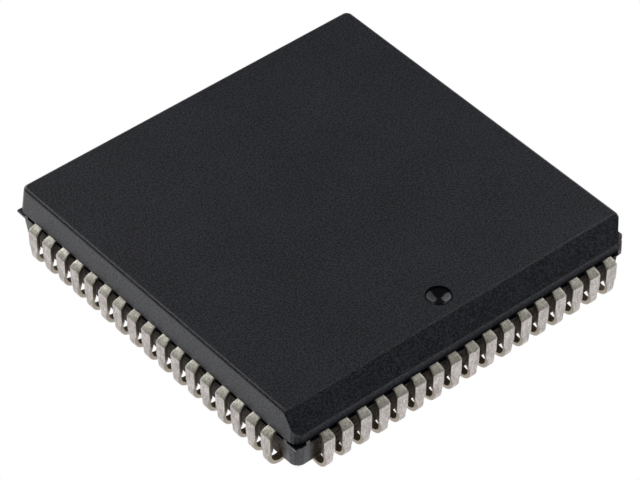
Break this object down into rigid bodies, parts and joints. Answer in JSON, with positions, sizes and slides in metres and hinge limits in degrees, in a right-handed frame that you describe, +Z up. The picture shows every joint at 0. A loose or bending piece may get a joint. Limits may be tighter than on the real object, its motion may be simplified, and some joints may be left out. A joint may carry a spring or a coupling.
{
  "type": "plastic leaded chip carrier",
  "caption": "Square black moulded chip package with tinned J-shaped leads folded under all four sides, a bevelled index side and an index dimple, for soldering or a socket.",
  "frame": {"origin": "centre of the seating plane, on which the J-leads stand", "axes": "+Z up through the top face, +Y towards the index side with the bevel and the dimple, +X to the right of it as seen from above"},
  "size_m": [0.0252, 0.0252, 0.0043],
  "materials": {
    "mould_compound": "fine matte moulded epoxy",
    "tinned_lead": "tinned, warm grey with faint streaks",
    "tie_bar_metal": "bare cut copper alloy",
    "die_attach": "cured silver-filled paste",
    "silicon": "polished",
    "bond_wire": "drawn gold wire"
  },
  "bodies": {
    "root": {"moulded_body": "mould_compound", "leads_index_side": "tinned_lead", "leads_left_side": "tinned_lead", "leads_rear_side": "tinned_lead", "leads_right_side": "tinned_lead", "die_paddle": "tie_bar_metal", "die_attach": "die_attach", "die": "silicon", "wires_index_side": "bond_wire", "wires_left_side": "bond_wire", "wires_rear_side": "bond_wire", "wires_right_side": "bond_wire"}
  },
  "joints": []
}
